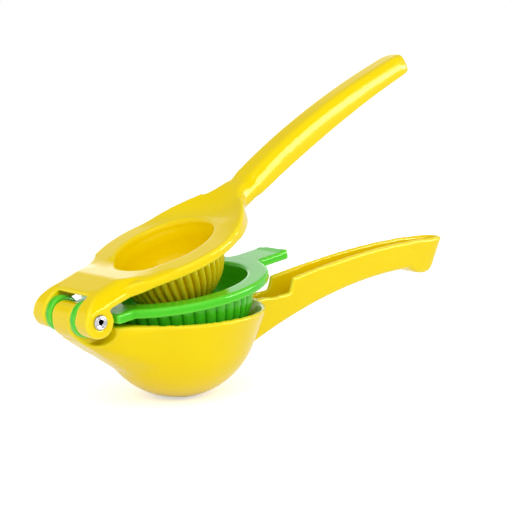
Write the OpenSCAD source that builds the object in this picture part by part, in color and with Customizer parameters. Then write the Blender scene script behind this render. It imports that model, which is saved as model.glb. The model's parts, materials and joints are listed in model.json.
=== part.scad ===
// Hinged two-cup citrus squeezer: a ribbed press and two nested cups that turn on one riveted pin.
// Millimetres, +X from the hinge to the handle tips, +Y along the pin, +Z up.
// The origin is the centre of the small flat land under the lower bowl.

/* [Hinge] */
// Distance from the pin to the centre line of the cups
cup_x = 51.2; // [50:0.2:54]
// Radius of the press ears
ear_r = 6.5; // [6:0.1:6.8]
// How far the ears' round ends are centred below the pin
ear_drop = 0.35; // [0:0.05:0.5]
// Thickness of each press ear along the pin
ear_w = 9; // [7:0.5:10]
// Width of the middle cup's knuckles along the pin
mid_knuckle_w = 3.8; // [3:0.2:5]
// Width of the lower cup's centre knuckle along the pin
low_knuckle_w = 13.6; // [12:0.2:15]
// Radius of the lower cup's centre knuckle
low_knuckle_r = 5.7; // [5.2:0.1:6]
// Radius of the middle cup's knuckles around the pin
mid_knuckle_r = 6.1; // [5.6:0.1:6.3]
// Radius of their fuller backs, towards the cup
mid_knuckle_back_r = 6.9; // [6:0.1:7]
// Side gap between neighbouring knuckles
knuckle_gap = 0.25; // [0.15:0.05:0.4]
// Radius of the rivet's shank
pin_r = 2.4; // [2:0.1:2.6]
// Radial running clearance of the knuckle bores on the shank
pin_clear = 0.06; // [0.03:0.01:0.1]
// Radial clearance of the ear bores on the shank
ear_clear = 0.02; // [0.01:0.01:0.05]
// Radius of the rivet's heads
rivet_head_r = 3; // [2.8:0.1:4]
// Height of the rivet's heads
rivet_head_t = 0.8; // [0.6:0.1:1.2]
// Radius of the hollow in the rivet's rolled end
rivet_hole_r = 1.2; // [0.8:0.1:1.5]
// Depth of that hollow below the end of the shank
rivet_hole_t = 3; // [2:0.5:5]

/* [Pose] */
// Angle of the middle cup above the lower cup as drawn
mid_open = 8.1; // [0:0.1:40]
// Angle of the press above the middle cup as drawn
press_open = 13.3; // [0:0.1:60]

/* [Lower cup] */
// Outer radius of the bowl's rim
rim_r = 37.8; // [37:0.2:40]
// How much smaller the outer radius of the bowl's round bottom is than the rim's
bowl_inset = 3.4; // [2:0.2:4]
// Height of the rim above the centre of the round bottom
rim_rise = 3.1; // [2:0.1:5]
// Wall of the bowl
bowl_wall = 2; // [1.8:0.1:2.2]
// Radius of the flat land under the bowl
land_r = 5; // [4:0.5:7]
// Clear height between the rim and the closed middle cup's flange
seat_gap = 0.3; // [0.2:0.1:0.6]
// Depth of the bracket's front edge below the pin's axis
bracket_drop = 9.6; // [9:0.2:11]
// Reach of the bracket's front edge beyond the pin's axis
bracket_reach = 1.2; // [1:0.1:2]
// Half width of the bracket's bottom edge where it meets the bowl
keel_y = 6.4; // [2:0.2:6.8]
// Height of the bracket's bottom edge there, from the pin's axis
keel_z = -27; // [-29:0.5:-22]

/* [Middle cup] */
// Outer radius of the middle cup's flange
mid_flange_r = 39.6; // [38.6:0.2:41]
// Thickness of the middle cup's flange
mid_flange_t = 3.9; // [3:0.1:4.4]
// Height of the middle flange's top above the pin's axis
mid_top = 0.2; // [0:0.1:0.6]
// Clear depth between the bottoms of the middle cup and the lower cup
cup_clear = 4.1; // [3:0.1:6]
// Depth of the centre of the middle cup's round bottom below the pin's axis
mid_cup_drop = 2.8; // [2:0.1:3.4]
// Wall of the middle cup between its ribs
mid_wall = 1.5; // [1.3:0.1:2.2]
// Number of ribs around the middle cup
mid_ribs = 41; // [35:2:47]
// Height of the middle cup's ribs
mid_rib_h = 0.6; // [0.4:0.1:1.2]
// Half width of the middle cup's shoulders beside the hinge
mid_shoulder_y = 19.2; // [17:0.2:20]
// Length of the thumb tab beyond the middle flange
tab_len = 16.4; // [12:0.2:16.6]
// Width of the thumb tab
tab_w = 18; // [14:0.5:20]
// How much shorter the thumb tab is along its far side
tab_skew = 1; // [0:0.1:2]
// Radius of the fillets between the thumb tab and the flange
tab_fillet = 4; // [2:0.5:6]
// Height of the raised end of the thumb tab
tab_lip = 0.6; // [0.3:0.1:2]
// Length of the ramp up to the thumb tab's raised end
tab_ramp = 4.6; // [3:0.2:8]

/* [Press] */
// Outer radius of the press flange
press_flange_r = 33.8; // [33:0.2:36]
// Thickness of the press flange
press_flange_t = 4.3; // [3.6:0.1:4.8]
// Height of the press flange's top above the pin's axis
press_top = 5.9; // [5.6:0.1:6.6]
// Outer radius of the press dome over its ribs
dome_r = 23.4; // [22:0.2:25]
// Depth of the dome's centre below the pin's axis
dome_drop = 0.8; // [0:0.1:2]
// Wall of the dome between its ribs
dome_wall = 1.6; // [1.4:0.1:2.6]
// Number of ribs around the dome
dome_ribs = 41; // [35:2:47]
// Height of the dome's ribs
dome_rib_h = 1.3; // [0.6:0.1:1.5]
// Height of the hinge bridge's top above the pin's axis
bridge_top = 9.3; // [9:0.1:10]
// Thickness of the hinge bridge
bridge_t = 1.5; // [1.2:0.1:2]
// Radius of the hinge bridge's long top edges
bridge_round = 6; // [2:0.2:7]

/* [Handles] */
// Distance from the pin to the lower handle's tip
low_handle_end = 210.4; // [200:0.2:220]
// Half width of the lower handle along its grip
low_handle_y = 6.7; // [6:0.1:8]
// Extra half width of the lower handle where it leaves the bowl
low_handle_flare = 1.6; // [0.5:0.1:2.4]
// How much nearer the hinge the tab notch starts in the handle's far wall
notch_skew = 1.8; // [0:0.1:1.8]
// Distance from the pin to the press handle's tip
press_handle_end = 207.2; // [200:0.2:218]
// Half width of the press handle along its grip
press_handle_y = 6.9; // [6:0.1:7.6]
// How much narrower the press handle is along its bottom and top edges than between them
handle_crown = 0.4; // [0:0.1:0.8]
// Wall of both handles
handle_wall = 2; // [1.6:0.1:2.6]
// Radius of the press handle's top edges
press_handle_round = 3; // [1.5:0.1:4]
// Radius of the lower handle's bottom edges
low_handle_round = 2; // [1:0.1:3]

/* [Drain slots] */
// Number of drain slots in each cup
slots = 8; // [6:1:10]
// Distance from the centre to the inner ends of the drain slots
slot_start = 6.5; // [6:0.1:8]
// Width of the middle cup's drain slots
mid_slot_w = 2.6; // [2:0.1:3]
// Distance from the centre to the outer ends of the middle cup's drain slots
mid_slot_end = 15; // [12:0.5:18]
// Width of the lower cup's drain slots
low_slot_w = 2.4; // [2:0.1:2.6]
// Distance from the centre to the outer ends of the lower cup's drain slots
low_slot_end = 7.4; // [7:0.1:12]

/* [Hidden] */
YELLOW = [0.98, 0.85, 0.02];
GREEN = [0.16, 0.74, 0.1];
STEEL = [0.8, 0.8, 0.82];

// Places along the pin, from its middle outwards.
low_knuckle_y = low_knuckle_w / 2;
mid_knuckle_y = low_knuckle_y + knuckle_gap;
ear_y = mid_knuckle_y + mid_knuckle_w + knuckle_gap;
hinge_y = ear_y + ear_w;

// Heights above the pin's axis with all parts closed.
mid_bottom = mid_top - mid_flange_t;
rim_z = mid_bottom - seat_gap;
bowl_z = rim_z - rim_rise;
bowl_r = rim_r - bowl_inset;
mid_cup_r = bowl_r - bowl_wall - bowl_z - mid_cup_drop - cup_clear;
land_z = bowl_z - sqrt(bowl_r ^ 2 - land_r ^ 2);
pin_z = -land_z;
press_bottom = press_top - press_flange_t;

// Angle of the bowl's straight side, which is tangent to its round bottom.
flare = acos(bowl_r / norm([rim_r, rim_rise])) - atan2(rim_rise, rim_r);
edge_round = 0.6;
through = 60;
round_fn = 96;
// Steps along each handle.
steps = 24;
bore_fn = 64;

function arc(c, r, a, b, n = 8) =
    [for (i = [0:n]) let (t = a + (b - a) * i / n) c + r * [cos(t), sin(t)]];
function bezier(p, t) =
    let (u = 1 - t) u ^ 3 * p[0] + 3 * t * u ^ 2 * p[1] + 3 * t ^ 2 * u * p[2] + t ^ 3 * p[3];
// A smooth step from row b to row c of a table, with the rows before and after them.
function spline(a, b, c, d, t) = b + ((c - a) * t + (2 * a - 5 * b + 4 * c - d) * t ^ 2
    + (3 * b - 3 * c + d - a) * t ^ 3) / 2;

// Moves a sub-part drawn with the pin on the Y axis to its place, turned up by an angle.
module on_pin(angle = 0) translate([-cup_x, 0, pin_z]) rotate([0, -angle, 0]) children();
module at_cup() translate([cup_x, 0, 0]) children();
module along_y(y0, y1) translate([0, y1, 0]) rotate([90, 0, 0]) linear_extrude(y1 - y0) children();
module along_x(x0, x1) translate([x0, 0, 0]) rotate([90, 0, 90]) linear_extrude(x1 - x0) children();
module both_sides() { children(); mirror([0, 1, 0]) children(); }
module pin_bore(clearance) along_y(-through / 2, through / 2) circle(r = pin_r + clearance, $fn = bore_fn);

// A solid skinned over cross sections with equal numbers of points, given from its root to its tip.
module loft(rings) {
    n = len(rings[0]);
    m = len(rings);
    polyhedron(
        points = [for (ring = rings) each ring],
        faces = concat(
            [[for (k = [0:n - 1]) k]],
            [for (i = [0:m - 2], k = [0:n - 1]) [i * n + k, (i + 1) * n + k, (i + 1) * n + (k + 1) % n]],
            [for (i = [0:m - 2], k = [0:n - 1])
                [i * n + k, (i + 1) * n + (k + 1) % n, i * n + (k + 1) % n]],
            [[for (k = [n - 1:-1:0]) (m - 1) * n + k]]
        )
    );
}

// A station of a handle is its bottom point and top point in the XZ plane and its half width.
function height(station) = norm(station[1] - station[0]);
function ring(station, outline) =
    let (low = station[0], up = (station[1] - low) / height(station))
    [for (p = outline) [low.x + up.x * p.y, p.x, low.y + up.y * p.y]];

// The share of each rib's pitch that the rib takes, the rest being the groove beside it.
rib_share = 0.6;
// One rib that follows the round wall of a cup from under its flange to the edge of its flat pole.
module rib(r, h, drop, top, angle) {
    a = -asin(top / (r + h));
    rotate([0, 0, -angle / 2]) rotate_extrude(angle = angle, $fn = round_fn)
        polygon(concat(arc([0, -drop], r + h, -62, a, 6), arc([0, -drop], r - 0.6, a, -64, 4)));
}

module drain_slots(end, w, bottom) {
    for (i = [0:slots - 1]) rotate([0, 0, (i + 0.5) * 360 / slots]) translate([slot_start, 0, bottom]) {
        translate([0, -w / 2, 0]) cube([end - slot_start, w, through / 3]);
        for (x = [0, end - slot_start])
            translate([x, 0, 0]) cylinder(r = w / 2, h = through / 3, $fn = bore_fn);
    }
}

// ---- lower cup
function bowl_profile(inset) = concat([[0, land_z + inset]],
    arc([0, bowl_z], bowl_r - inset, -acos(land_r / bowl_r), -flare, 10),
    [[rim_r - inset / cos(flare), rim_z - bowl_wall / 2]]);

module bowl_shell() {
    outer = bowl_profile(0);
    inner = bowl_profile(bowl_wall);
    last = len(outer) - 1;
    lip_r = (outer[last].x - inner[last].x) / 2;
    lip = arc([outer[last].x - lip_r, outer[last].y], lip_r, 0, 180, 6);
    rotate_extrude($fn = round_fn) polygon(concat(outer, lip, [for (i = [last:-1:0]) inner[i]]));
}

module bowl_hollow() rotate_extrude($fn = round_fn)
    polygon(concat(bowl_profile(bowl_wall), [[rim_r - bowl_wall, rim_z + 1], [0, rim_z + 1]]));

// The grip's bottom and top lines end this far before the tip, where the finger stop begins.
stop_low = 25.2;
stop_high = 18.4;
low_bottom_line = [[84, -24.6], [115, -12], [150, -2.6], [low_handle_end - stop_low, -2.7]];
low_top_line = [[84, -2], [118, 3.2], [150, 10.4], [low_handle_end - stop_high, 10.6]];
// The finger stop: bottom point and top point behind the tip, and how far each side is drawn in.
finger_stop = [[-22.4, -4.2, -14.6, 0], [-18.7, -5.7, -11, 0], [-15.2, -6.2, -7.6, 0.1],
    [-12, -5.9, -4.6, 0.5], [-9.8, -5, -2.2, 1.4], [-8.4, -3.8, -0.6, 2.7], [-8, -3.3, 0, 4.4]];
low_stations = concat(
    [for (i = [0:steps]) let (t = i / steps)
        [bezier(low_bottom_line, t), bezier(low_top_line, t), low_handle_y + low_handle_flare * (1 - t) ^ 3]],
    [for (s = finger_stop)
        [[low_handle_end + s[0], s[1]], [low_handle_end + s[2], 10.5], low_handle_y - s[3]]]);

function low_outline(s) = let (w = s[2], r = min(low_handle_round, w / 2), h = height(s))
    concat([[-w, h]], arc([r - w, r], r, 180, 270, 3), arc([w - r, r], r, 270, 360, 3), [[w, h]]);
function low_hollow_outline(s) =
    let (w = s[2] - handle_wall, h = height(s) + 8, r = min(edge_round, w / 2))
    concat([[-w, h]], arc([r - w, handle_wall + r], r, 180, 270, 2),
        arc([w - r, handle_wall + r], r, 270, 360, 2), [[w, h]]);

// The notch that lets the closed thumb tab down between the handle's walls, measured from the tab's tip.
tab_tip = cup_x + mid_flange_r + tab_len;
module tab_notch() translate([tab_tip, 0]) polygon([[-mid_flange_r, rim_z], [-14.2, rim_z - 0.2],
    [-10.2, rim_z - 0.6], [-6.2, rim_z - 0.7], [-2.2, rim_z - 0.3], [1.2, rim_z - 0.05],
    [1.6, rim_z + 0.6], [3.1, 1.4], [4.8, 20], [-mid_flange_r, 20]]);

module low_handle() {
    last = len(low_stations) - 1;
    difference() {
        loft([for (s = low_stations) ring(s, low_outline(s))]);
        loft([for (i = [0:last - 2]) ring(low_stations[i], low_hollow_outline(low_stations[i]))]);
        along_y(-through / 2, 0) tab_notch();
        translate([-notch_skew, 0, 0]) along_y(-1, through / 2) tab_notch();
    }
}

// The bracket between the bowl and the centre knuckle, with a round pocket for each press ear, and the
// chin that runs from its front edge up to the knuckle.
// Each pocket is cut by two circles: place along X, height and radius.
pocket = [[0.4, -1.6, 9.6], [5.2, -6.2, 5.2]];
keel_x = cup_x - sqrt(bowl_r ^ 2 - (bowl_z - keel_z) ^ 2);
module low_bracket() difference() {
    hull() {
        translate([-bracket_reach, -low_knuckle_y, -bracket_drop])
            cube([4, low_knuckle_w, bracket_drop + rim_z]);
        translate([keel_x, -keel_y, keel_z]) cube([1.5, 2 * keel_y, 4]);
        at_cup() for (a = [flare, flare + 8])
            translate([0, 0, bowl_z - bowl_r * sin(a)])
                cylinder(r = bowl_r * cos(a) - 0.3, h = 0.1, $fn = bore_fn);
        translate([cup_x, 0, rim_z - 1]) cylinder(r = rim_r - 0.4, h = 1, $fn = bore_fn);
    }
    both_sides() along_y(low_knuckle_y, through)
        for (c = pocket) translate([c[0], c[1]]) circle(r = c[2], $fn = bore_fn);
    at_cup() bowl_hollow();
    translate([cup_x, -through / 2, -through]) cube([through, through, 2 * through]);
}

module lower_cup() color(YELLOW) on_pin() difference() {
    union() {
        at_cup() bowl_shell();
        low_handle();
        low_bracket();
        along_y(-low_knuckle_y, low_knuckle_y) {
            circle(r = low_knuckle_r, $fn = bore_fn);
            polygon([[2, 0], [-low_knuckle_r, 0], [-5.6, -3], [-5.3, -4.7], [-4.3, -6.6], [-2.9, -8],
                [-1.5, -8.8], [-bracket_reach, -bracket_drop], [2, -bracket_drop]]);
        }
    }
    at_cup() bowl_hollow();
    at_cup() drain_slots(low_slot_end, low_slot_w, land_z - 1);
    pin_bore(pin_clear);
}

// ---- middle cup
mid_base_r = mid_cup_r - mid_rib_h;
mid_inner_r = mid_base_r - mid_wall;
mid_lip = 1;

module mid_shell() rotate_extrude($fn = round_fn) polygon(concat(
    arc([0, -mid_cup_drop], mid_base_r, -90, -2, 12),
    [[mid_base_r + 0.4, mid_bottom]],
    arc([mid_flange_r - edge_round, mid_bottom + edge_round], edge_round, -90, 0, 3),
    arc([mid_flange_r - edge_round, mid_top - edge_round], edge_round, 0, 90, 3),
    arc([mid_inner_r + mid_lip, mid_top - mid_lip], mid_lip, 90, 180, 4),
    arc([0, -mid_cup_drop], mid_inner_r, 0, -90, 12)));

// The two knuckles and the shoulders that carry them on the flange.
module mid_hinge() {
    shoulder_x = 8.6;
    translate([shoulder_x, -mid_shoulder_y, mid_bottom])
        cube([cup_x - mid_base_r, 2 * mid_shoulder_y, mid_flange_t]);
    both_sides() along_y(mid_knuckle_y, mid_knuckle_y + mid_knuckle_w) {
        circle(r = mid_knuckle_r, $fn = bore_fn);
        translate([1.2, 0.3]) circle(r = mid_knuckle_back_r, $fn = bore_fn);
        translate([0.2, -1.2]) circle(r = mid_knuckle_r + 0.3, $fn = bore_fn);
        polygon([[0, mid_bottom], [shoulder_x + 1, mid_bottom], [shoulder_x + 1, mid_top],
            [shoulder_x - 1.6, mid_top + 1.6], [0, mid_top + 1.6]]);
    }
}

module mid_tab() {
    root = cup_x + mid_base_r + 2;
    side = tab_w / 2;
    y = side + tab_fillet;
    x = sqrt((mid_flange_r + tab_fillet) ^ 2 - y ^ 2);
    end = 180 - atan2(y, x);
    intersection() {
        along_y(-through / 2, through / 2) polygon([[root, mid_bottom], [tab_tip, mid_bottom],
            [tab_tip, mid_top + tab_lip], [tab_tip - tab_ramp, mid_top], [root, mid_top]]);
        translate([0, 0, -through / 2]) linear_extrude(through) polygon(concat([[root, -y]],
            arc([cup_x + x, -y], tab_fillet, end, 90), [[tab_tip, -side], [tab_tip - tab_skew, side]],
            arc([cup_x + x, y], tab_fillet, -90, -end), [[root, y]]));
    }
}

module middle_cup() color(GREEN) on_pin(mid_open) difference() {
    union() {
        at_cup() mid_shell();
        at_cup() for (i = [0:mid_ribs - 1]) rotate([0, 0, 180 + i * 360 / mid_ribs])
            rib(mid_base_r, mid_rib_h, mid_cup_drop, 2.2, rib_share * 360 / mid_ribs);
        difference() {
            mid_hinge();
            translate([cup_x, 0, -through / 2]) cylinder(r = mid_base_r, h = through, $fn = round_fn);
        }
        mid_tab();
    }
    at_cup() drain_slots(mid_slot_end, mid_slot_w, -mid_cup_drop - mid_cup_r - 2);
    pin_bore(pin_clear);
}

// ---- press
dome_base_r = dome_r - dome_rib_h;
dish_r = dome_base_r - dome_wall;
// The dish's lip spreads this far beyond its wall and ends in an edge this steep.
dish_lip = 1.8;
dish_lip_end = 110;
dish_lip_r = dish_lip / (1 + cos(dish_lip_end));

module press_disc() rotate_extrude($fn = round_fn) polygon(concat(
    arc([0, -dome_drop], dome_base_r, -90, 0, 12),
    [[dome_base_r + 0.3, press_bottom]],
    arc([press_flange_r - edge_round, press_bottom + edge_round], edge_round, -90, 0, 3),
    arc([press_flange_r - edge_round, press_top - edge_round], edge_round, 0, 90, 3),
    arc([dish_r + dish_lip_r, press_top - dish_lip_r * sin(dish_lip_end)], dish_lip_r, dish_lip_end, 180, 4),
    arc([0, -dome_drop], dish_r, 0, -90, 12)));

// The neck between the flange and the handle: place, half width, rise at the edges, rise in the middle
// and rise of the underside.
neck_stations = [[60, 31.4, -0.05, -0.05, 0], [67.3, 30, 0.5, -0.05, 0], [72, 27.8, 1.4, -0.05, 0],
    [76.4, 24.7, 2.4, 0.1, 0], [81.2, 20.3, 3.5, 1.1, 0], [84.5, 16.4, 4.3, 2.4, 0],
    [87.4, 12.4, 5.2, 3.9, 0], [90, 9.4, 6, 5.4, 0.3], [93, 7.7, 6.6, 6.4, 1.2], [96, 7.2, 7, 7, 2]];
neck_rows = len(neck_stations) - 1;
smooth_neck = concat([for (i = [0:neck_rows - 1], t = [0:2]) spline(
    neck_stations[max(i - 1, 0)], neck_stations[i], neck_stations[i + 1],
    neck_stations[min(i + 2, neck_rows)], t / 3)], [neck_stations[neck_rows]]);
function neck_ring(s) =
    let (x = s[0], w = s[1], e = edge_round, edge = press_top + s[2], middle = press_top + s[3],
        under = press_bottom + s[4])
    [for (p = concat([[w - e, under], [w, under + e]], arc([w - e, edge - e], e, 0, 90, 3),
        [for (k = [3:-1:-3]) [(w - e) * k / 4, middle + (edge - middle) * (k / 4) ^ 2]],
        arc([e - w, edge - e], e, 90, 180, 3), [[-w, under + e], [e - w, under]])) [x, p.x, p.y]];

press_bottom_line = [[84, 0.8], [125, 8.2], [160, 14.6], [press_handle_end - 5, 16.4]];
press_top_line = [[84, 7.9], [112, 20.2], [160, 26], [press_handle_end - 6, 25.9]];
press_stations = concat(
    [for (i = [0:steps]) let (t = i / steps)
        [bezier(press_bottom_line, t), bezier(press_top_line, t), press_handle_y + 2 * (1 - t) ^ 6]],
    [for (s = [[-2, 16.6, -3, 0.5], [-0.5, 16.8, -1.2, 1.6], [0, 17.2, -0.6, 3.4]])
        [[press_handle_end + s[0], s[1]], [press_handle_end + s[2], 25.8 - s[3] / 4],
            press_handle_y - s[3]]]);

// Each side swells from its bottom edge and draws in again to the rounded top edge.
function press_outline(s) =
    let (w = s[2], h = height(s), r = min(press_handle_round, w * 0.8, h * 0.4), c = handle_crown,
        side = [for (v = [-1:0.5:0.5]) [w - c * v ^ 2, (h - r) * (v + 1) / 2]])
    concat(side, arc([w - c - r, h - r], r, 0, 90, 4), arc([r + c - w, h - r], r, 90, 180, 4),
        [for (k = [3:-1:0]) [-side[k].x, side[k].y]]);
function press_hollow_outline(s) =
    let (w = s[2] - handle_crown - handle_wall, h = height(s) - handle_wall, r = min(1.5, w / 2))
    concat([[w, -6]], arc([w - r, h - r], r, 0, 90, 2), arc([r - w, h - r], r, 90, 180, 2), [[-w, -6]]);

module press_handle() {
    last = len(press_stations) - 1;
    difference() {
        loft([for (s = press_stations) ring(s, press_outline(s))]);
        loft([for (i = [4:last - 2]) ring(press_stations[i], press_hollow_outline(press_stations[i]))]);
    }
}

bridge_front = 3.6;
bridge_bend = 13;
bridge_back = 17;
bridge_foot = 19.5;
arm_back = 29;

// The two ears with their arms, and the thin bridge that joins them over the knuckles.
module press_hinge() intersection() {
    union() {
        both_sides() along_y(ear_y, hinge_y) {
            translate([0, -ear_drop]) circle(r = ear_r, $fn = bore_fn);
            polygon([[-4.4, 4.5], [-3.1, 5.9], [-1.6, 7], [0.2, 7.8], [2.2, bridge_top - 0.9],
                [4.4, bridge_top - 0.3], [6.5, bridge_top], [bridge_back, bridge_top],
                [arm_back, press_top], [arm_back, press_bottom],
                [bridge_bend - 1, press_bottom + 0.4], [ear_r - 0.4, press_bottom + 0.6], [0, 0]]);
        }
        along_y(-ear_y - 0.1, ear_y + 0.1)
            polygon([[bridge_front, bridge_top - bridge_t], [bridge_front, bridge_top - 0.2],
                [bridge_front + 1, bridge_top], [bridge_back, bridge_top], [arm_back, press_top],
                [arm_back, press_bottom], [bridge_foot, press_bottom],
                [bridge_bend, bridge_top - bridge_t]]);
    }
    along_x(-through / 2, through) polygon(concat([[-hinge_y, -through / 2], [hinge_y, -through / 2]],
        arc([hinge_y - bridge_round, bridge_top - bridge_round], bridge_round, 0, 90, 5),
        arc([bridge_round - hinge_y, bridge_top - bridge_round], bridge_round, 90, 180, 5)));
}

// The flat webs that carry the arms' sides out to the flange, tangent to its rim.
module press_webs() {
    reach = norm([cup_x - bridge_back, hinge_y]);
    a = 180 - atan2(hinge_y, cup_x - bridge_back) - acos(press_flange_r / reach);
    tangent = [cup_x + press_flange_r * cos(a), press_flange_r * sin(a)];
    intersection() {
        translate([0, 0, press_bottom]) linear_extrude(through) polygon([[bridge_back, hinge_y], tangent,
            [cup_x, tangent.y], [cup_x, -tangent.y], [tangent.x, -tangent.y], [bridge_back, -hinge_y]]);
        along_y(-through, through) polygon([[bridge_back, press_bottom + 0.2], [bridge_back, press_top + 1],
            [arm_back, press_top], [cup_x, press_top], [cup_x, press_bottom], [bridge_foot, press_bottom]]);
    }
}

module upper_press() color(YELLOW) on_pin(mid_open + press_open) difference() {
    union() {
        at_cup() press_disc();
        at_cup() for (i = [0:dome_ribs - 1]) rotate([0, 0, 180 + i * 360 / dome_ribs])
            rib(dome_base_r, dome_rib_h, dome_drop, 1.2, rib_share * 360 / dome_ribs);
        difference() {
            union() {
                press_hinge();
                press_webs();
                loft([for (s = smooth_neck) neck_ring(s)]);
                press_handle();
            }
            translate([cup_x, 0, -through / 2]) cylinder(r = dish_r + dish_lip, h = through, $fn = round_fn);
        }
    }
    pin_bore(ear_clear);
}

// ---- rivet, drawn along Z and turned onto the pin's axis
module hinge_rivet() color(STEEL) on_pin(mid_open + press_open) rotate([90, 0, 0]) difference() {
    union() {
        translate([0, 0, -hinge_y]) cylinder(r = pin_r, h = 2 * hinge_y, $fn = bore_fn);
        for (side = [0, 1]) mirror([0, 0, side]) rotate_extrude($fn = bore_fn)
            polygon(concat([[0, hinge_y], [rivet_head_r, hinge_y]],
                arc([rivet_head_r - 0.6, hinge_y + rivet_head_t - 0.6], 0.6, 0, 90, 4),
                [[0, hinge_y + rivet_head_t]]));
    }
    translate([0, 0, hinge_y - rivet_hole_t])
        cylinder(r = rivet_hole_r, h = rivet_hole_t + 2 * rivet_head_t, $fn = bore_fn);
}

lower_cup();
middle_cup();
upper_press();
hinge_rivet();
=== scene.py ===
"""Looks of a hinged two-cup citrus squeezer: three enamelled castings and a bright rivet on one pin.

Metres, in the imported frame: +X from the hinge to the handle tips, +Y along the pin, +Z up.
"""

import json
import math
import bmesh  # noqa: E402
import bpy  # noqa: E402
import numpy as np  # noqa: E402
from mathutils import Matrix, Vector  # noqa: E402


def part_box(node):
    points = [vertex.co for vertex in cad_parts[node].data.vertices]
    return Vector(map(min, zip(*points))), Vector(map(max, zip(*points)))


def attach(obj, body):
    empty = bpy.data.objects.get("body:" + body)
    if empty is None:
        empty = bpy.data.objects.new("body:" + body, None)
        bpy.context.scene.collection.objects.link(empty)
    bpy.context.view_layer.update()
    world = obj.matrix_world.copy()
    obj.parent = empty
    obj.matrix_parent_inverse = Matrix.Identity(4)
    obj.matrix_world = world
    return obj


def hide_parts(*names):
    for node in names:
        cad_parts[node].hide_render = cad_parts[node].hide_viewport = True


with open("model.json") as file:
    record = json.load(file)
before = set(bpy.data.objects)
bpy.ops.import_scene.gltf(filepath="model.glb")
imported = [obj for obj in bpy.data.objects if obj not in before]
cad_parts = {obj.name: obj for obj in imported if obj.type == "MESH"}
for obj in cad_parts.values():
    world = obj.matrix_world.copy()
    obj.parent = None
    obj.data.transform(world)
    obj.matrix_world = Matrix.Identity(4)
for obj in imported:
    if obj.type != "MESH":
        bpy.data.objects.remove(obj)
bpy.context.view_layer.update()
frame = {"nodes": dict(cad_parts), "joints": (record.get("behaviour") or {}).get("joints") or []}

# ---- camera, at the photograph's place
CAMERA_PLACE = (-0.3425, -0.4676, 0.1467)
CAMERA_YAW = 39.58
CAMERA_PITCH = -8.67
CAMERA_ROLL = -1.31
PICTURE_SIDE = 512
FOCAL_PIXELS = 1400
SENSOR = 36


def camera_matrix():
    yaw, pitch, roll = (math.radians(a) for a in (CAMERA_YAW, CAMERA_PITCH, CAMERA_ROLL))
    ahead = Vector((math.sin(yaw) * math.cos(pitch), math.cos(yaw) * math.cos(pitch), math.sin(pitch)))
    level = Vector((math.cos(yaw), -math.sin(yaw), 0))
    over = level.cross(ahead)
    right = level * math.cos(roll) + over * math.sin(roll)
    up = over * math.cos(roll) - level * math.sin(roll)
    m = Matrix((right, up, -ahead)).transposed().to_4x4()
    m.translation = CAMERA_PLACE
    return m


cam = bpy.data.objects.new("camera", bpy.data.cameras.new("camera"))
cam.data.sensor_width = SENSOR
cam.data.lens = FOCAL_PIXELS / PICTURE_SIDE * SENSOR
cam.data.clip_start = 0.01
cam.data.clip_end = 100
cam.matrix_world = camera_matrix()
bpy.context.scene.collection.objects.link(cam)
bpy.context.scene.camera = cam


# ---- node helpers: a value is a number, a colour or another node's socket
def feed(tree, socket, value):
    if isinstance(value, bpy.types.NodeSocket):
        tree.links.new(value, socket)
    else:
        socket.default_value = value


def node_in(tree, kind, **sockets):
    """A new node, with its inputs by name. A name's underscores stand for spaces."""
    n = tree.nodes.new(kind)
    for key, value in sockets.items():
        feed(tree, n.inputs[key.replace("_", " ")], value)
    return n


def shader(name):
    """A new material, its node tree and its Principled shader."""
    mat = bpy.data.materials.new(name)
    mat.use_nodes = True
    tree = mat.node_tree
    tree.nodes.clear()
    out = node_in(tree, "ShaderNodeOutputMaterial")
    bsdf = node_in(tree, "ShaderNodeBsdfPrincipled")
    tree.links.new(bsdf.outputs[0], out.inputs["Surface"])
    return mat, tree, bsdf


def ramp(tree, factor, low, high, a, b, smooth=False):
    """A number that goes from a to b as factor goes from low to high."""
    n = node_in(tree, "ShaderNodeMapRange", Value=factor, From_Min=low, From_Max=high, To_Min=a, To_Max=b)
    n.interpolation_type = "SMOOTHSTEP" if smooth else "LINEAR"
    return n.outputs["Result"]


def colour_mix(tree, factor, a, b):
    """A colour that goes from a to b as factor goes from 0 to 1."""
    n = tree.nodes.new("ShaderNodeMix")
    n.data_type = "RGBA"
    for socket, value in ((n.inputs[0], factor), (n.inputs[6], a), (n.inputs[7], b)):
        feed(tree, socket, (*value, 1) if isinstance(value, tuple) else value)
    return n.outputs[2]


def number_mix(tree, factor, a, b):
    """A number that goes from a to b as factor goes from 0 to 1."""
    n = tree.nodes.new("ShaderNodeMix")
    for socket, value in zip(n.inputs, (factor, None, a, b)):
        if value is not None:
            feed(tree, socket, value)
    return n.outputs[0]


def worked_out(tree, operation, *values):
    """The result of a Math node."""
    n = tree.nodes.new("ShaderNodeMath")
    n.operation = operation
    for socket, value in zip(n.inputs, values):
        feed(tree, socket, value)
    return n.outputs[0]


def mesh_number(tree, name):
    """A number that the mesh holds for each of its points."""
    n = node_in(tree, "ShaderNodeAttribute")
    n.attribute_name = name
    return n.outputs["Fac"]


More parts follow.
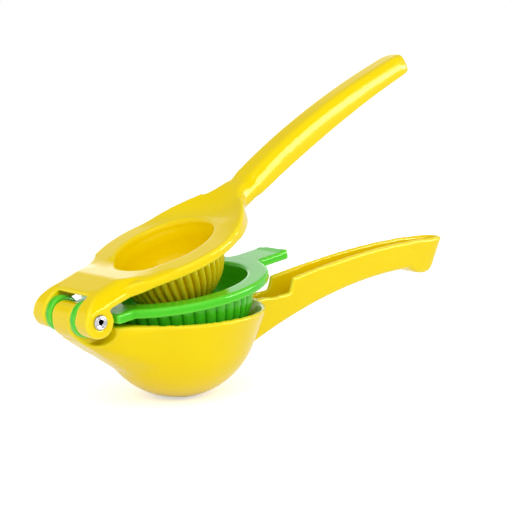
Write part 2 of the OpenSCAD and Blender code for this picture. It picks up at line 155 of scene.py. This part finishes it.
# ---- materials
def enamel(name, base, deep, edge_highlight, tint, seed):
    """Thick glossy enamel over cast metal, darker in hollows, where the enamel pools and with painted shade,
    and lighter on edges as a painted highlight.
    """
    mat, tree, bsdf = shader(name)
    place = node_in(tree, "ShaderNodeTexCoord").outputs["Object"]
    cloud = node_in(tree, "ShaderNodeTexNoise", Vector=place, Scale=38.0, Detail=2.0)
    cloud.noise_dimensions = "4D"
    cloud.inputs["W"].default_value = seed
    peel = node_in(tree, "ShaderNodeTexNoise", Vector=place, Scale=420.0, Detail=1.0)
    specks = node_in(tree, "ShaderNodeTexNoise", Vector=place, Scale=1600.0, Detail=2.0)
    bend = mesh_number(tree, "bend")
    # Painted shade: hollows take the deep colour, partly for pooled enamel and partly as painted shade.
    hollow = ramp(tree, bend, -0.15, -0.9, 0.0, 1.0)
    edge = ramp(tree, bend, 0.25, 1.0, 0.0, 1.0)
    clouded = colour_mix(tree, ramp(tree, cloud.outputs["Fac"], 0.35, 0.7, 0.0, 0.12), base, deep)
    pooled_and_shaded = colour_mix(tree, hollow, clouded, deep)
    # Painted highlight: edges take a lighter colour.
    feed(tree, bsdf.inputs["Base Color"], colour_mix(tree, edge, pooled_and_shaded, edge_highlight))
    feed(tree, bsdf.inputs["Roughness"], ramp(tree, specks.outputs["Fac"], 0.3, 0.7, 0.08, 0.16))
    bump = node_in(tree, "ShaderNodeBump", Height=peel.outputs["Fac"], Strength=0.2, Distance=0.0002)
    feed(tree, bsdf.inputs["Normal"], bump.outputs[0])
    bsdf.inputs["IOR"].default_value = 1.5
    bsdf.inputs["Specular Tint"].default_value = (*tint, 1)
    return mat


def bright_steel(name):
    """Lathe-turned steel, faintly stained, and painted near black in its hollow as shade."""
    mat, tree, bsdf = shader(name)
    place = node_in(tree, "ShaderNodeTexCoord").outputs["Object"]
    grain = node_in(tree, "ShaderNodeTexNoise", Vector=place, Scale=900.0, Detail=3.0)
    stain = node_in(tree, "ShaderNodeTexNoise", Vector=place, Scale=260.0, Detail=2.0)
    stained = ramp(tree, stain.outputs["Fac"], 0.35, 0.7, 0.0, 1.0)
    clean = colour_mix(tree, stained, (0.46, 0.45, 0.48), (0.66, 0.65, 0.68))
    # Painted shade: the bottom of the rivet's hollow is painted near black.
    hollow_shaded = colour_mix(tree, mesh_number(tree, "deep"), clean, (0.06, 0.055, 0.06))
    feed(tree, bsdf.inputs["Base Color"], hollow_shaded)
    feed(tree, bsdf.inputs["Roughness"], ramp(tree, grain.outputs["Fac"], 0.3, 0.7, 0.16, 0.34))
    bump = node_in(tree, "ShaderNodeBump", Height=grain.outputs["Fac"], Strength=0.2, Distance=0.00005)
    feed(tree, bsdf.inputs["Normal"], bump.outputs[0])
    bsdf.inputs["Metallic"].default_value = 1.0
    return mat


# deep is a darker tone, for random clouds and for hollows, where it is partly pooled enamel and partly
# painted shade; the lighter edge colour is a painted highlight.
YELLOW = enamel("yellow_enamel", base=(0.93, 0.7, 0.0), deep=(0.72, 0.46, 0.0), edge_highlight=(0.95, 0.76, 0.02),
                tint=(1, 0.85, 0.3), seed=1.0)
GREEN = enamel("green_enamel", base=(0.07, 0.62, 0.012), deep=(0.02, 0.3, 0.004), edge_highlight=(0.13, 0.72, 0.04),
               tint=(0.6, 1, 0.5), seed=4.0)
STEEL = bright_steel("bright_steel")


# ---- castings: each CAD solid with the soft edges that sand casting and enamel leave.
# Sizes are in millimetres and degrees, voxels in metres. Places are from the pin, with the piece shut.
MM = 0.001
PIN = np.array(frame["joints"][0]["pos_m"])
CUP_X = -PIN[0] / MM
MIDDLE_OPEN = -frame["joints"][0]["range_deg"][0]
PRESS_OPEN = MIDDLE_OPEN - frame["joints"][1]["range_deg"][0]
SOFTENING = 5
RIBS = 41
BEND_SHARE = 0.12

BOWL_DROP = 7.1
BOWL_OUTSIDE = 34.4
BOWL_INSIDE = 32.4
BOWL_TANGENT = -20.2
BOWL_FOOT = -81
BOWL_VOXEL = 0.00063

MIDDLE_DROP = 2.8
MIDDLE_BASE = 32
MIDDLE_INSIDE = 30.5
MIDDLE_VOXEL = 0.00053

DOME_DROP = 0.8
DOME_BASE = 22.1
DOME_INSIDE = 20.5
DISH_LIP_EDGE = 22.3
DISH_LEAN = 0.222
PRESS_VOXEL = 0.00058


def turned(p, angle):
    """Points turned about the pin's axis, from +X towards +Z."""
    c, s = math.cos(math.radians(angle)), math.sin(math.radians(angle))
    return np.stack([p[:, 0] * c - p[:, 2] * s, p[:, 1], p[:, 2] * c + p[:, 0] * s], 1)


def smoothed(co, edges, passes, weight):
    """Points drawn towards the mean of their neighbours."""
    count = len(co)
    ends = np.bincount(edges.ravel(), minlength=count)[:, None]
    for _ in range(passes):
        total = np.stack([np.bincount(edges[:, 0], co[edges[:, 1], k], count)
                          + np.bincount(edges[:, 1], co[edges[:, 0], k], count) for k in range(3)], 1)
        co = co + weight * (total / ends - co)
    return co


def fade(value, start, end):
    """0 at start, 1 at end, smooth between."""
    t = np.clip((value - start) / (end - start), 0, 1)
    return t * t * (3 - 2 * t)


def polar(p, drop):
    """Offset, distance, azimuth and elevation in degrees about a cup's centre, drop below the pin's axis."""
    d = p - (CUP_X, 0, -drop)
    r = np.linalg.norm(d, axis=1)
    return d, r, np.degrees(np.arctan2(d[:, 1], d[:, 0])), np.degrees(np.arcsin(d[:, 2] / r))


def round_wall(drop, radius, high, low=-90):
    """Sets the points near a cup's round surface, between two elevations, onto the true sphere."""
    reach, full_reach, soft = 0.4, 0.2, 2

    def place(p, edges):
        d, r, _, up = polar(p, drop)
        near = fade(abs(r - radius), reach, full_reach) * fade(up, high + soft, high - soft)
        near *= fade(up, low, low + soft) if low > -90 else 1
        return p + d * ((radius / r - 1) * near)[:, None]
    return place


def flutes(drop, base, height, groove, top):
    """Rounds a cup's ribs, from top down, into flutes that meet in sharp grooves."""
    inner = base - 0.9
    crest = base + height
    lowest, full, deepest = -61, -58, -56

    def place(p, edges):
        d, r, _, up = polar(p, drop)
        outside = fade(r, inner, inner + 0.3) * fade(r, crest + 1.2, crest + 0.7)
        weight = outside * fade(-d[:, 2], top - 0.2, top + 0.8) * fade(up, lowest, full)
        p = smoothed(p, edges, 10, 0.5 * weight[:, None])
        d, r, azimuth, up = polar(p, drop)
        share = (azimuth - 180) * RIBS / 360
        share = 2 * abs(share - np.round(share))
        depth = fade(-d[:, 2], top - 0.2, top + 0.8) * fade(up, lowest, deepest)
        target = base + ((height + groove) * (1 - share ** 2) - groove) * depth
        return p + d * ((target / r - 1) * weight)[:, None]
    return place


def flared(inner, edge, low, knee, high, slope):
    """Leans the press's dish wall outwards from low to high, easing in up to knee, with its lip."""
    def place(p, edges):
        r = np.hypot(p[:, 0] - CUP_X, p[:, 1])
        z = np.clip(p[:, 2], low, high)
        lean = np.where(z < knee, (z - low) ** 2 / (knee - low) / 2, z - (knee + low) / 2) * slope
        within = np.where(p[:, 2] < (knee + high) / 2, fade(r, inner + 1.1, inner + 0.8), 1)
        grow = lean * within * np.clip((edge - r) / (edge - inner), 0, 1)
        return p + np.stack([(p[:, 0] - CUP_X) / r, p[:, 1] / r, 0 * r], 1) * grow[:, None]
    return place


def blended(low, high, rim, passes):
    """Draws the surfaces in a box into each other, less and less over rim outside it."""
    def place(p, edges):
        weight = np.ones(len(p))
        for k in range(3):
            weight *= fade(p[:, k], low[k] - rim, low[k]) * fade(p[:, k], high[k] + rim, high[k])
        return smoothed(p, edges, passes, 0.5 * weight[:, None])
    return place


def drop_specks(me):
    """Keeps the casting and deletes the tiny closed specks that the remesh can leave in narrow corners."""
    bm = bmesh.new()
    bm.from_mesh(me)
    outermost = max(bm.verts, key=lambda v: v.co.x)
    kept = {outermost}
    front = [outermost]
    while front:
        vert = front.pop()
        for edge in vert.link_edges:
            other = edge.other_vert(vert)
            if other not in kept:
                kept.add(other)
                front.append(other)
    bmesh.ops.delete(bm, geom=[v for v in bm.verts if v not in kept], context="VERTS")
    bm.to_mesh(me)
    bm.free()


def remeshed(obj, voxel):
    """The object's mesh in even small faces."""
    remesh = obj.modifiers.new("remesh", "REMESH")
    remesh.mode = "VOXEL"
    remesh.voxel_size = voxel
    dg = bpy.context.evaluated_depsgraph_get()
    me = bpy.data.meshes.new_from_object(obj.evaluated_get(dg))
    obj.modifiers.clear()
    drop_specks(me)
    return me


def store_bend(me, co, edges, voxel):
    """Keeps how far each point stands out, for the enamel's painted highlight and shade: over 0 on edges and
    under 0 in hollows.
    """
    normals = np.empty(len(co) * 3, np.float32)
    me.vertex_normals.foreach_get("vector", normals)
    bent = smoothed(co, edges, 3, 0.5) - co
    bend = -(bent * normals.reshape(-1, 3)).sum(1) / (BEND_SHARE * voxel)
    bend = smoothed(bend[:, None].repeat(3, 1), edges, 2, 0.5)[:, 0]
    attribute = me.attributes.new("bend", "FLOAT", "POINT")
    attribute.data.foreach_set("value", np.clip(bend, -2, 2).astype(np.float32))


def casting(name, node, body, mat, voxel, angle, shapes):
    """A soft-edged copy of a CAD node. shapes work on its points, from the pin, with it shut."""
    obj = bpy.data.objects.new(name, frame["nodes"][node].data.copy())
    bpy.context.scene.collection.objects.link(obj)
    me = remeshed(obj, voxel)
    obj.data = me
    me.materials.clear()
    me.materials.append(mat)
    co = np.empty(len(me.vertices) * 3)
    me.vertices.foreach_get("co", co)
    edges = np.empty(len(me.edges) * 2, np.int32)
    me.edges.foreach_get("vertices", edges)
    edges = edges.reshape(-1, 2)
    p = turned((co.reshape(-1, 3) - PIN) / MM, -angle)
    p = smoothed(p, edges, SOFTENING, 0.5)
    for shape in shapes:
        p = shape(p, edges)
    co = turned(p, angle) * MM + PIN
    me.vertices.foreach_set("co", co.astype(np.float32).ravel())
    me.update()
    store_bend(me, co, edges, voxel)
    me.polygons.foreach_set("use_smooth", np.ones(len(me.polygons), bool))
    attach(obj, body)
    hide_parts(node)


bracket_into_bowl = blended(low=(13, -28, -40), high=(44, 28, -13), rim=4, passes=60)
neck_into_handle = blended(low=(86, -11, 2), high=(99, 11, 16), rim=3, passes=40)
ramp_into_flange = blended(low=(26, -30, 5), high=(32, 30, 9), rim=4, passes=70)

casting("lower_cup_enamel", "lower_cup", "lower", YELLOW, BOWL_VOXEL, 0,
        [round_wall(BOWL_DROP, BOWL_OUTSIDE, high=BOWL_TANGENT, low=BOWL_FOOT),
         round_wall(BOWL_DROP, BOWL_INSIDE, high=BOWL_TANGENT),
         bracket_into_bowl])
casting("middle_cup_enamel", "middle_cup", "middle", GREEN, MIDDLE_VOXEL, MIDDLE_OPEN,
        [flutes(MIDDLE_DROP, MIDDLE_BASE, height=0.6, groove=0.3, top=2.2),
         round_wall(MIDDLE_DROP, MIDDLE_INSIDE, high=-5)])
casting("upper_press_enamel", "upper_press", "press", YELLOW, PRESS_VOXEL, PRESS_OPEN,
        [flutes(DOME_DROP, DOME_BASE, height=1.3, groove=0.35, top=1.2),
         round_wall(DOME_DROP, DOME_INSIDE, high=-3),
         flared(DOME_INSIDE, DISH_LIP_EDGE, low=-3, knee=1, high=3.3, slope=DISH_LEAN),
         neck_into_handle, ramp_into_flange])

# ---- rivet: turned about the pin, rolled over at the near end round a rough hollow.
# A profile's points are radius and height over the ear's face, in millimetres. ROLLED runs from the middle of
# the hollow to the shank, and PLAIN from the shank to the middle of the far head.
RIVET_HEAD = 0.8
PIN_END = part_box("hinge_rivet")[1][1] / MM
EAR_END = PIN_END - RIVET_HEAD
HOLLOW = 1.3
HOLLOW_LIFT = 0.15
# Radius of the painted shade at the bottom of the hollow.
HOLLOW_SHADE_RADIUS = 1.1
AROUND = 96
ROLLED = [(0, -2.6), (0.7, -2.5), (0.85, -1), (0.9, 0.1), (1.05, 0.45), (1.25, 0.66), (1.45, 0.72),
          (1.62, 0.64), (1.72, 0.52), (1.84, 0.5), (1.96, 0.58), (2.1, 0.72), (2.3, 0.79), (2.55, 0.77),
          (2.8, 0.64), (2.94, 0.42), (3, 0.16), (2.98, 0.02), (2.4, 0)]
PLAIN = [(2.4, 0), (2.98, 0.02), (3, 0.16), (2.94, 0.42), (2.8, 0.64), (2.5, 0.77), (2, 0.8), (0, 0.8)]


def rivet_points():
    """The rivet's points, one at each end and rings between, and which of them take the painted shade deep in
    the hollow.
    """
    profile = [(r, -EAR_END - y) for r, y in ROLLED] + [(r, EAR_END + y) for r, y in PLAIN]
    verts, depths = [], []
    for r, y in profile:
        for k in range(1 if r == 0 else AROUND):
            a = math.tau * k / AROUND
            hollow = r < HOLLOW
            rough = 1 + (0.07 * math.sin(3 * a + 1) + 0.05 * math.sin(7 * a)) * hollow
            point = Vector((r * rough * math.cos(a), y, r * rough * math.sin(a) + HOLLOW_LIFT * hollow))
            verts.append(point * MM + Vector(PIN))
            depths.append(1.0 if r < HOLLOW_SHADE_RADIUS and y < 0 else 0.0)
    return verts, depths, len(profile) - 2


def rivet_faces(rings):
    """Quads between the rings, and a fan at each end."""
    faces = []
    for i in range(rings - 1):
        first = 1 + i * AROUND
        for k in range(AROUND):
            a, b = first + k, first + (k + 1) % AROUND
            faces.append((a, a + AROUND, b + AROUND, b))
    last = 1 + rings * AROUND
    for k in range(AROUND):
        n = (k + 1) % AROUND
        faces.append((0, 1 + k, 1 + n))
        faces.append((last, last - AROUND + n, last - AROUND + k))
    return faces


def rivet_piece():
    verts, depths, rings = rivet_points()
    faces = rivet_faces(rings)
    me = bpy.data.meshes.new("hinge_rivet_turned")
    me.from_pydata(verts, [], faces)
    me.attributes.new("deep", "FLOAT", "POINT").data.foreach_set("value", depths)
    me.polygons.foreach_set("use_smooth", [True] * len(faces))
    me.materials.append(STEEL)
    obj = bpy.data.objects.new("hinge_rivet_turned", me)
    bpy.context.scene.collection.objects.link(obj)
    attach(obj, "press")
    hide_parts("hinge_rivet")


rivet_piece()

# ---- floor, world and lamps
FLOOR_SIDE = 30
FLOOR_DROP = 0.0001
FLOOR_GREY = 0.94
FLOOR_GLOW_SEEN = 0.5
FLOOR_GLOW_MIRRORED = 0.2
SKY_LIGHT = 0.73
SKY_SEEN = 1.0
SKY_OVERHEAD = 0.25
HORIZON_TOP = 8
OVERHEAD_FROM = 24
PATCH_PLACE = (56, 16)
PATCH_EDGE = 24
PATCH_CORE = 7
PATCH_LEVEL = 0.8
MIDDLE = Vector((0.04, 0, 0.05))


def aimed(azimuth, elevation):
    """The direction of an azimuth from +X and an elevation, in degrees."""
    a, e = math.radians(azimuth), math.radians(elevation)
    return Vector((math.cos(e) * math.cos(a), math.cos(e) * math.sin(a), math.sin(e)))


def ray_kinds(tree):
    """1 for a ray from the camera, and 1 for a mirrored or transmitted one."""
    path = tree.nodes.new("ShaderNodeLightPath")
    mirrored = worked_out(tree, "MAXIMUM", path.outputs["Is Glossy Ray"], path.outputs["Is Transmission Ray"])
    return path.outputs["Is Camera Ray"], mirrored


def floor_material():
    """Near white, with a glow of its own for camera and mirror, so that the ground is as pale as the sky."""
    mat, tree, bsdf = shader("floor")
    bsdf.inputs["Base Color"].default_value = (FLOOR_GREY, FLOOR_GREY, FLOOR_GREY, 1)
    bsdf.inputs["Roughness"].default_value = 0.9
    bsdf.inputs["Specular IOR Level"].default_value = 0.0
    seen, mirrored = ray_kinds(tree)
    shared = worked_out(tree, "MULTIPLY", mirrored, FLOOR_GLOW_MIRRORED)
    power = worked_out(tree, "MULTIPLY_ADD", seen, FLOOR_GLOW_SEEN, shared)
    glow = node_in(tree, "ShaderNodeEmission", Color=(1, 1, 1, 1), Strength=power)
    both = tree.nodes.new("ShaderNodeAddShader")
    tree.links.new(bsdf.outputs[0], both.inputs[0])
    tree.links.new(glow.outputs[0], both.inputs[1])
    out = next(n for n in tree.nodes if n.type == "OUTPUT_MATERIAL")
    tree.links.new(both.outputs[0], out.inputs["Surface"])
    return mat


def floor_piece():
    me = bpy.data.meshes.new("floor")
    h = FLOOR_SIDE / 2
    me.from_pydata([(-h, -h, 0), (h, -h, 0), (h, h, 0), (-h, h, 0)], [], [(0, 1, 2, 3)])
    me.materials.append(floor_material())
    floor = bpy.data.objects.new("floor", me)
    floor.location.z = -FLOOR_DROP
    bpy.context.scene.collection.objects.link(floor)


def studio_sky():
    """White for the camera and even for diffuse light. Gloss sees it white at the horizon, dim overhead, and
    with one soft patch brighter than white, which makes the press flange pale."""
    world = bpy.data.worlds.new("studio")
    bpy.context.scene.world = world
    world.use_nodes = True
    tree = world.node_tree
    tree.nodes.clear()
    seen, mirrored = ray_kinds(tree)
    direction = tree.nodes.new("ShaderNodeTexCoord").outputs["Generated"]
    height = node_in(tree, "ShaderNodeSeparateXYZ", Vector=direction).outputs["Z"]
    low, high = (math.sin(math.radians(a)) for a in (HORIZON_TOP, OVERHEAD_FROM))
    ceiling = ramp(tree, height, low, high, SKY_SEEN, SKY_OVERHEAD, smooth=True)
    towards = tree.nodes.new("ShaderNodeVectorMath")
    towards.operation = "DOT_PRODUCT"
    feed(tree, towards.inputs[0], direction)
    towards.inputs[1].default_value = aimed(*PATCH_PLACE)
    edge, core = (math.cos(math.radians(a)) for a in (PATCH_EDGE, PATCH_CORE))
    patch = ramp(tree, towards.outputs["Value"], edge, core, 0.0, PATCH_LEVEL, smooth=True)
    shown = number_mix(tree, seen, worked_out(tree, "ADD", ceiling, patch), SKY_SEEN)
    level = number_mix(tree, worked_out(tree, "MAXIMUM", seen, mirrored), SKY_LIGHT, shown)
    sky = node_in(tree, "ShaderNodeBackground", Color=(1, 1, 1, 1), Strength=level)
    out = tree.nodes.new("ShaderNodeOutputWorld")
    tree.links.new(sky.outputs[0], out.inputs["Surface"])


def lamp(name, azimuth, elevation, distance, width, height, watts):
    """A soft lamp that faces the object and isn't seen by the camera."""
    data = bpy.data.lights.new(name, "AREA")
    data.shape = "RECTANGLE"
    data.size = width
    data.size_y = height
    data.energy = watts
    obj = bpy.data.objects.new(name, data)
    obj.location = MIDDLE + distance * aimed(azimuth, elevation)
    obj.rotation_euler = (MIDDLE - obj.location).to_track_quat("-Z", "Y").to_euler()
    obj.visible_camera = False
    bpy.context.scene.collection.objects.link(obj)
    return obj


floor_piece()
studio_sky()
lamp("key", azimuth=-125, elevation=35, distance=1.6, width=1.6, height=1.2, watts=10)
lamp("fill", azimuth=-45, elevation=12, distance=1.7, width=1.2, height=0.8, watts=3)
strip = lamp("strip", azimuth=-46, elevation=9, distance=1.7, width=1.4, height=0.3, watts=18)
strip.visible_diffuse = False  # it draws the gloss stripe along the press handle, and lights no colour

bpy.context.scene.view_settings.view_transform = "Standard"
